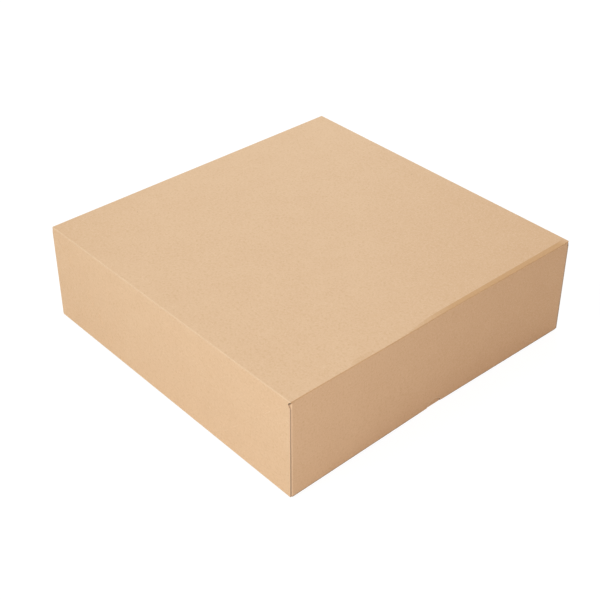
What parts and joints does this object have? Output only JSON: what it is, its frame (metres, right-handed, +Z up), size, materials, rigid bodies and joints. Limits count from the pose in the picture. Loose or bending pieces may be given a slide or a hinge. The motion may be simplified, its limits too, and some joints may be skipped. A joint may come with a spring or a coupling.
{
  "type": "closed cardboard box",
  "caption": "Low, nearly square carton of kraft corrugated board, closed: a full-depth lid with thumb notches slides down over a tray.",
  "frame": {"origin": "middle of the footprint, on the surface that the box stands on", "axes": "+Z up, X across the two plain walls with the thumb notches, Y across the two creased walls"},
  "size_m": [0.344, 0.349, 0.1046],
  "materials": {
    "kraft_board": "uncoated brown kraft liner, matt"
  },
  "bodies": {
    "base": {"base": "kraft_board"},
    "lid": {"lid": "kraft_board"}
  },
  "joints": [
    {"name": "lid_lift", "type": "slide", "parent": "base", "child": "lid", "axis": [0, 0, 1], "range_m": [0, 0.13]}
  ]
}
